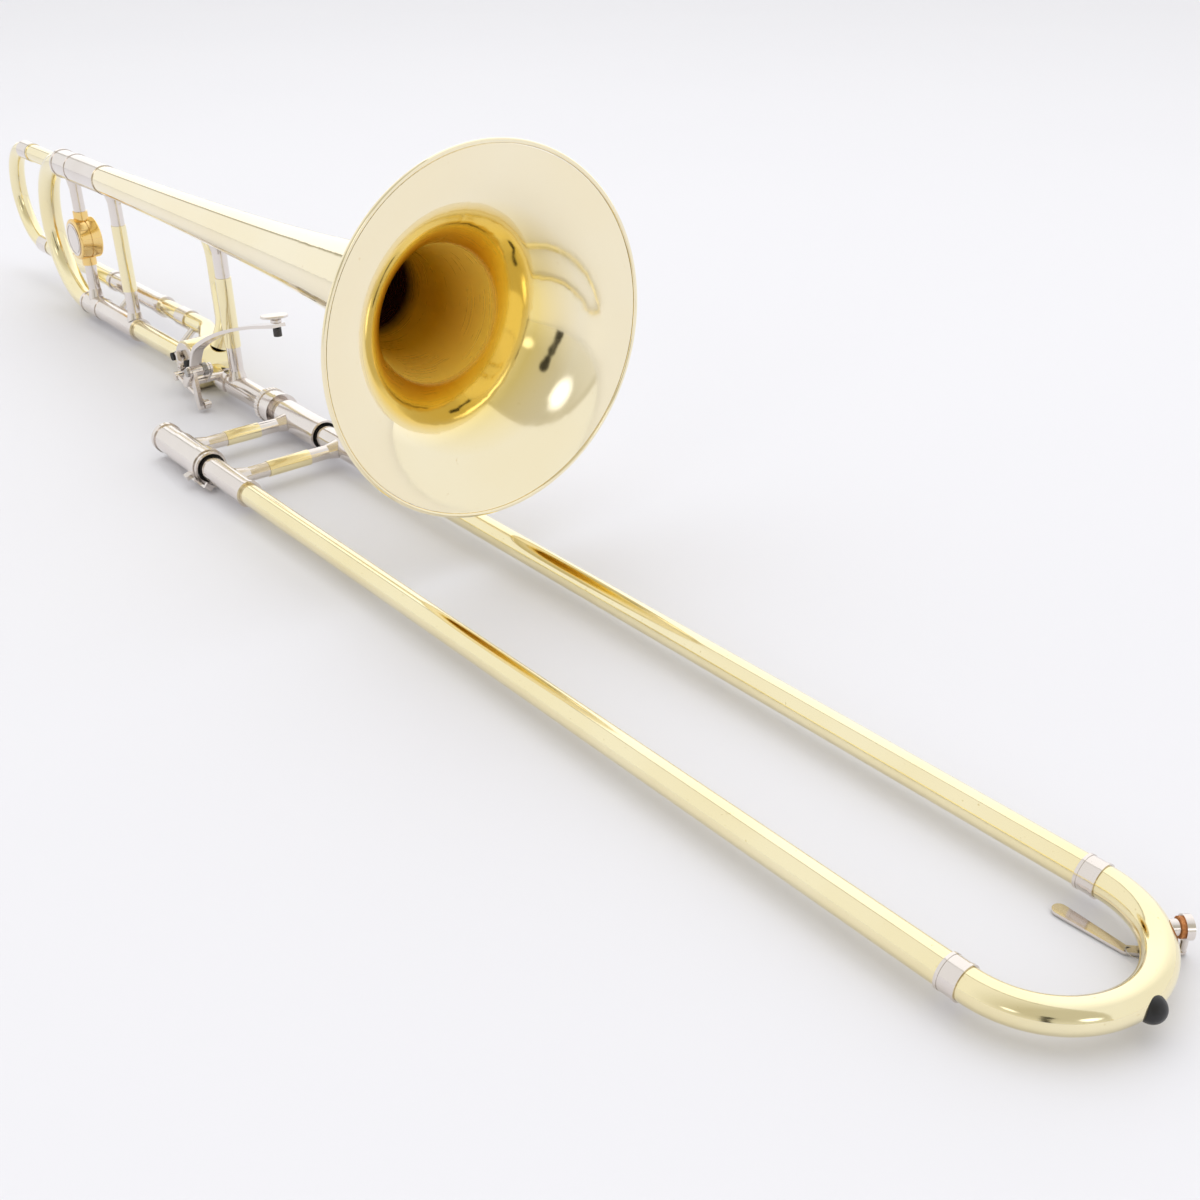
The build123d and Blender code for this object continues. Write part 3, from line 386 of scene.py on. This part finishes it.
def water_key_spring_wire():
    """A double coil on the water key's hub, its middle bent over the lever's tail."""
    low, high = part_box("water_key_pin")
    # the way the key points from the bow's centre
    turn = math.radians(52.0)
    outward = Vector((math.cos(turn), math.sin(turn), 0))
    along = Vector((-math.sin(turn), math.cos(turn), 0))
    upward = Vector((0, 0, 1))
    # the pin's head puts the middle of its box a little to one side of the pivot
    head_offset = 0.00065
    pivot = (low + high) / 2 + along * head_offset
    wire = 0.00028
    radius = 0.00255
    outer_end = -0.0038
    coil_width = 0.0009
    coil_degrees = 630
    steps = 48
    points = []
    for step in range(steps + 1):
        angle = math.radians(-90 + coil_degrees * (1 - step / steps))
        offset = outer_end + coil_width * step / steps
        spoke = outward * math.cos(angle) + upward * math.sin(angle)
        points.append(pivot + along * offset + radius * spoke)
    # the wire leaves the coil and bends to the lever's middle: inward, across and height from the pivot
    bends = (
        (0.0040, -0.0029, -0.0023),
        (0.0082, -0.0026, -0.0009),
        (0.0092, -0.0012, -0.0006),
    )
    for inward, across, height in bends:
        points.append(pivot - outward * inward + along * across + upward * height)
    mirrored = [point - 2 * along * (point - pivot).dot(along) for point in reversed(points)]
    piece = wire_mesh("water_key_spring", points + mirrored, wire, sides=8)
    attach(piece, "water_key")


trigger_spring_wire()
water_key_spring_wire()

# ---- floor ----
floor_reach = 14.0
floor_gap = 0.0002
floor_data = bpy.data.meshes.new("floor")
floor_mesh = bmesh.new()
bmesh.ops.create_grid(floor_mesh, x_segments=4, y_segments=4, size=floor_reach)
floor_mesh.to_mesh(floor_data)
floor_mesh.free()
floor = bpy.data.objects.new("floor", floor_data)
floor.location = (0, 0, cad_low.z - floor_gap)
bpy.context.collection.objects.link(floor)
paper = Shader("floor_paper")
paper.set(Roughness=0.5, Specular_IOR_Level=0.25)
paper.colour(paper.mix(paper.noise(1.5, 2.0), (0.785, 0.785, 0.835), (0.805, 0.805, 0.85)))
floor_data.materials.append(paper.material)


# ---- light ----
def softbox(name, place, aim, width, height, power):
    """A soft lamp that polished metal doesn't reflect."""
    light = bpy.data.lights.new(name, "AREA")
    light.shape = "RECTANGLE"
    light.size = width
    light.size_y = height
    light.energy = power
    lamp = bpy.data.objects.new(name, light)
    lamp.location = place
    lamp.rotation_euler = (Vector(aim) - Vector(place)).to_track_quat("-Z", "Y").to_euler()
    lamp.visible_glossy = False
    bpy.context.collection.objects.link(lamp)


softbox("overhead", (-0.1, 0.2, 2.4), (0.0, 0.0, 0.0), width=4.0, height=3.0, power=20.0)
for name, place in (("ahead", (2.18, -0.08, 0.74)), ("left_front", (0.78, -1.85, 0.82))):
    softbox(name, place, (0.2, 0.0, 0.14), width=0.6, height=0.5, power=1.1)


# What the metal reflects: the soft glow of two lamps and a dark standing figure. Each patch has
# its direction, the degrees within which it is full and beyond which it is gone, and its brightness.
patches = (
    ((0.916, -0.190, 0.345), 3.5, 9.5, 1.80),
    ((0.288, -0.890, 0.352), 2.5, 7.0, 1.50),
    ((0.706, -0.706, 0.03), 3.6, 4.6, 0.05),
    ((0.700, -0.706, 0.10), 3.2, 4.2, 0.05),
    ((0.690, -0.700, 0.18), 2.6, 3.6, 0.04),
    ((0.676, -0.690, 0.26), 3.4, 4.4, 0.03),
    ((0.650, -0.640, 0.37), 3.0, 4.0, 0.03),
    ((0.650, -0.610, 0.45), 4.4, 5.4, 0.03),
)


def studio_world():
    """The studio round the object: bright far side, dimmer near side, dark seam overhead and patches.

    The camera looks past all this at one plain grey; only the light and the reflections have it.
    """
    plain_grey = 0.74
    world = bpy.data.worlds.new("studio")
    world.use_nodes = True
    bpy.context.scene.world = world
    tree = world.node_tree
    where = tree.nodes.new("ShaderNodeTexCoord").outputs["Generated"]

    def along(direction):
        """How far the direction looked in points along another one."""
        node = tree.nodes.new("ShaderNodeVectorMath")
        node.operation = "DOT_PRODUCT"
        tree.links.new(where, node.inputs[0])
        node.inputs[1].default_value = direction
        return node.outputs["Value"]

    def ramp(value, low, high, to_low=0.0, to_high=1.0):
        node = tree.nodes.new("ShaderNodeMapRange")
        limits = (("From Min", low), ("From Max", high), ("To Min", to_low), ("To Max", to_high))
        for label, number in limits:
            node.inputs[label].default_value = number
        tree.links.new(value, node.inputs["Value"])
        return node.outputs["Result"]

    def blend(amount, first, second):
        node = tree.nodes.new("ShaderNodeMix")
        tree.links.new(amount, node.inputs["Factor"])
        for socket, value in ((node.inputs["A"], first), (node.inputs["B"], second)):
            if isinstance(value, float):
                socket.default_value = value
            else:
                tree.links.new(value, socket)
        return node.outputs["Result"]

    # how far forward and how far up the direction looked in points
    ahead = ramp(along((1.0, 0.0, 0.0)), -0.25, 0.35)
    raised = ramp(along((0.0, 0.0, 1.0)), 0.0, 0.35)
    near_side = blend(ahead, 0.90, blend(raised, 0.72, 0.57))
    far_side = blend(ahead, 1.20, 0.86)
    # from the near side, over the seam, to the far side
    across = along((0.0, 1.0, -0.11))
    seam = blend(ahead, 0.35, 0.6)
    shade = blend(ramp(across, -0.05, -0.01), near_side, seam)
    shade = blend(ramp(across, 0.01, 0.03), shade, far_side)
    for direction, inner, outer, brightness in patches:
        edge = math.cos(math.radians(outer))
        core = math.cos(math.radians(inner))
        patch = ramp(along(Vector(direction).normalized()), edge, core)
        shade = blend(patch, shade, brightness)
    seen_directly = tree.nodes.new("ShaderNodeLightPath").outputs["Is Camera Ray"]
    # the dimmer, the warmer
    tint = tree.nodes.new("ShaderNodeCombineColor")
    for channel, warmest in (("Red", 1.0), ("Green", 0.95), ("Blue", 0.80)):
        warm = tree.nodes.new("ShaderNodeMath")
        warm.operation = "MULTIPLY"
        tree.links.new(shade, warm.inputs[0])
        tree.links.new(ramp(shade, 0.55, 0.85, warmest, 1.0), warm.inputs[1])
        tree.links.new(blend(seen_directly, warm.outputs["Value"], plain_grey), tint.inputs[channel])
    background = tree.nodes["Background"]
    tree.links.new(tint.outputs["Color"], background.inputs["Color"])
    background.inputs["Strength"].default_value = 1.08


studio_world()

# ---- camera, at the photograph's viewing angle ----
slide_low, slide_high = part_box("outer_slide_tubes")
slide_level = (slide_low.z + slide_high.z) / 2
# how far the camera stands in front of the rim, beside the bell's axis and above the slide,
# and its turns in degrees
in_front, beside, above = 0.6229, 0.4248, 0.3698
turns = (61.136, 0.870, 50.783)
camera_data = bpy.data.cameras.new("camera")
camera_data.sensor_width = 36.0
camera_data.lens = 41.15
camera_data.clip_start = 0.02
camera_data.clip_end = 60.0
camera = bpy.data.objects.new("camera", camera_data)
camera.location = (rim_x + in_front, -beside, slide_level + above)
camera.rotation_euler = Euler([math.radians(turn) for turn in turns], "XYZ")
bpy.context.collection.objects.link(camera)
bpy.context.scene.camera = camera
bpy.context.scene.view_settings.view_transform = "Standard"
